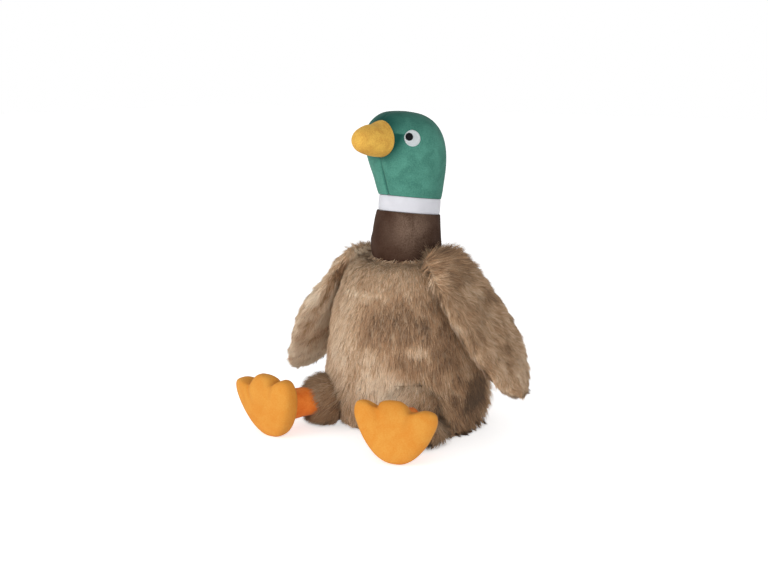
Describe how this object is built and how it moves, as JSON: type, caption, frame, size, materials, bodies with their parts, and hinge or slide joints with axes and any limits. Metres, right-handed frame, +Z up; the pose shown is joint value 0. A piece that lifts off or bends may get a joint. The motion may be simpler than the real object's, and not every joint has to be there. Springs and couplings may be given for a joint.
{
  "type": "plush duck",
  "caption": "Sitting stuffed drake with a fur body, hanging wings, splayed legs with three-toed feet, and a short-pile neck, head and bill.",
  "frame": {"origin": "centre of the flat base that the toy sits on", "axes": "+Z up, the toy faces -Y, and its left side is +X"},
  "size_m": [0.2888, 0.2243, 0.3061],
  "materials": {
    "brown_fur": "long taupe-brown plush pile, about 10 mm, combed downwards",
    "neck_velour": "short dark brown velour pile",
    "collar_ribbon": "smooth white woven ribbon",
    "head_velour": "short green velour pile",
    "bill_velour": "short yellow velour pile",
    "foot_velour": "short orange velour pile",
    "shank_velour": "short deep orange velour pile",
    "white_thread": "satin-stitched white embroidery thread",
    "black_thread": "satin-stitched black embroidery thread",
    "filling_fibre": "loose polyester filling",
    "pouch_cloth": "plain woven bag of pellets"
  },
  "bodies": {
    "torso": {"body_front_panel": "brown_fur", "body_back_panel": "brown_fur", "body_base_panel": "brown_fur", "body_filling": "filling_fibre", "ballast_pouch": "pouch_cloth"},
    "neck_and_head": {"neck_sleeve": "neck_velour", "neck_filling": "filling_fibre", "collar_band": "collar_ribbon", "head_left_panel": "head_velour", "head_right_panel": "head_velour", "head_filling": "filling_fibre", "bill_upper_panel": "bill_velour", "bill_lower_panel": "bill_velour", "bill_filling": "filling_fibre", "left_eye_white": "white_thread", "left_eye_pupil": "black_thread", "right_eye_white": "white_thread", "right_eye_pupil": "black_thread"},
    "left_wing": {"left_wing_outer_panel": "brown_fur", "left_wing_inner_panel": "brown_fur", "left_wing_filling": "filling_fibre"},
    "right_wing": {"right_wing_outer_panel": "brown_fur", "right_wing_inner_panel": "brown_fur", "right_wing_filling": "filling_fibre"},
    "left_leg": {"left_thigh_cover": "brown_fur", "left_shank_cover": "shank_velour", "left_leg_filling": "filling_fibre"},
    "right_leg": {"right_thigh_cover": "brown_fur", "right_shank_cover": "shank_velour", "right_leg_filling": "filling_fibre"},
    "left_foot": {"left_foot_sole_panel": "foot_velour", "left_foot_top_panel": "foot_velour", "left_foot_filling": "filling_fibre"},
    "right_foot": {"right_foot_sole_panel": "foot_velour", "right_foot_top_panel": "foot_velour", "right_foot_filling": "filling_fibre"}
  },
  "joints": [
    {"name": "neck_nod", "type": "hinge", "parent": "torso", "child": "neck_and_head", "pos_m": [0, -0.005, 0.178], "axis": [0.9945, -0.1045, 0], "range_deg": [-15, 18], "stiffness_Nm_per_rad": 0.3},
    {"name": "left_wing_flap", "type": "hinge", "parent": "torso", "child": "left_wing", "pos_m": [0.053, -0.013, 0.165], "axis": [0, -1, 0], "range_deg": [0, 95]},
    {"name": "right_wing_flap", "type": "hinge", "parent": "torso", "child": "right_wing", "pos_m": [-0.053, -0.013, 0.165], "axis": [0, 1, 0], "range_deg": [0, 95]},
    {"name": "left_hip_swing", "type": "hinge", "parent": "torso", "child": "left_leg", "pos_m": [0.05286, -0.06528, 0.0243], "axis": [-0.9397, -0.342, 0], "range_deg": [-15, 40]},
    {"name": "right_hip_swing", "type": "hinge", "parent": "torso", "child": "right_leg", "pos_m": [-0.05286, -0.06528, 0.0243], "axis": [-0.9397, 0.342, 0], "range_deg": [-15, 40]},
    {"name": "left_ankle_flex", "type": "hinge", "parent": "left_leg", "child": "left_foot", "pos_m": [0.06825, -0.10757, 0.0243], "axis": [-0.9135, -0.4067, 0], "range_deg": [-30, 5], "stiffness_Nm_per_rad": 0.05},
    {"name": "right_ankle_flex", "type": "hinge", "parent": "right_leg", "child": "right_foot", "pos_m": [-0.06825, -0.10757, 0.0243], "axis": [-0.9945, 0.1045, 0], "range_deg": [-30, 5], "stiffness_Nm_per_rad": 0.05}
  ]
}
